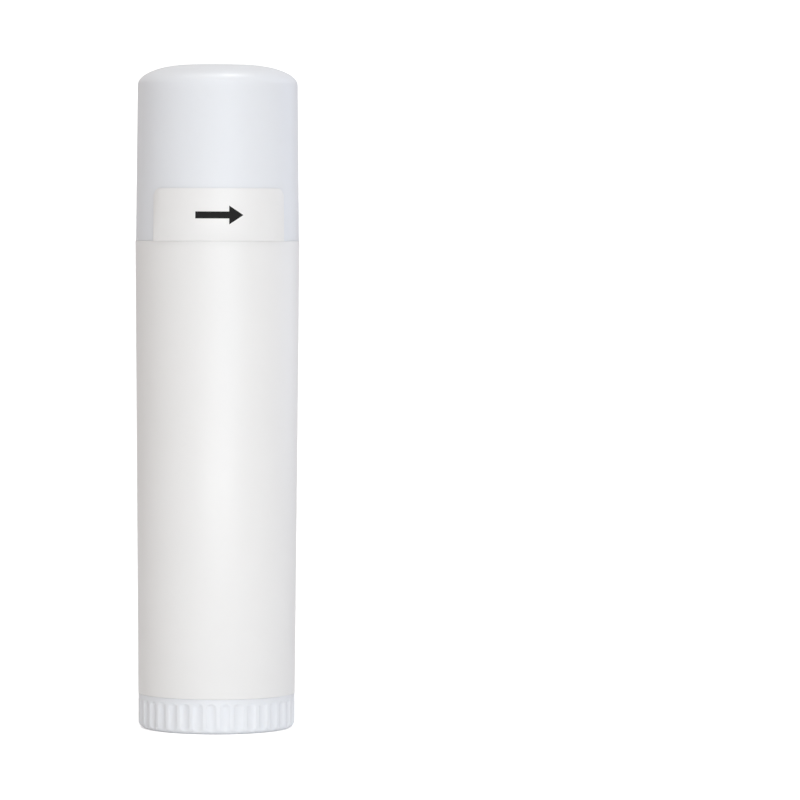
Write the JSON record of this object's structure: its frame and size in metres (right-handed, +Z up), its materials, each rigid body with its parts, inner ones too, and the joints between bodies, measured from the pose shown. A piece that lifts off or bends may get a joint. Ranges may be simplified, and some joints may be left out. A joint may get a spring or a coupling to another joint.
{
  "type": "sunscreen stick",
  "caption": "Slim round twist-up sunscreen stick with a fluted turning knob at its foot, a pull-off cap, a plain wrap label and a tear-off seal tab.",
  "frame": {"origin": "middle of the turning knob's underside, on the surface that the stick stands on", "axes": "+Z up along the stick's axis, towards the cap; -Y towards the front, where the seal tab is; the label's lap is at the back, +Y"},
  "size_m": [0.0162, 0.0164, 0.0655],
  "materials": {
    "white_plastic": "white polypropylene, moulded, soft gloss",
    "natural_plastic": "natural polypropylene, moulded, satin",
    "balm_wax": "cast sunscreen wax, sand coloured, waxy satin",
    "label_stock": "white coated label stock, blank, satin"
  },
  "bodies": {
    "barrel": {"tube": "white_plastic", "wrap_label": "label_stock"},
    "cap": {"cap": "white_plastic", "seal_tab": "label_stock"},
    "dial": {"twist_base": "white_plastic"},
    "carrier": {"elevator": "natural_plastic", "balm": "balm_wax"}
  },
  "joints": [
    {"name": "cap_pull", "type": "slide", "parent": "barrel", "child": "cap", "axis": [0, 0, 1], "range_m": [0, 0.03]},
    {"name": "dial_turn", "type": "hinge", "parent": "barrel", "child": "dial", "pos_m": [0, 0, 0], "axis": [0, 0, 1], "range_deg": [0, 720]},
    {"name": "carrier_rise", "type": "slide", "parent": "barrel", "child": "carrier", "axis": [0, 0, 1], "range_m": [0, 0.007]}
  ],
  "couplings": [
    {"joint": "dial_turn", "follows": "carrier_rise", "rad_per_m": 1795.2}
  ]
}
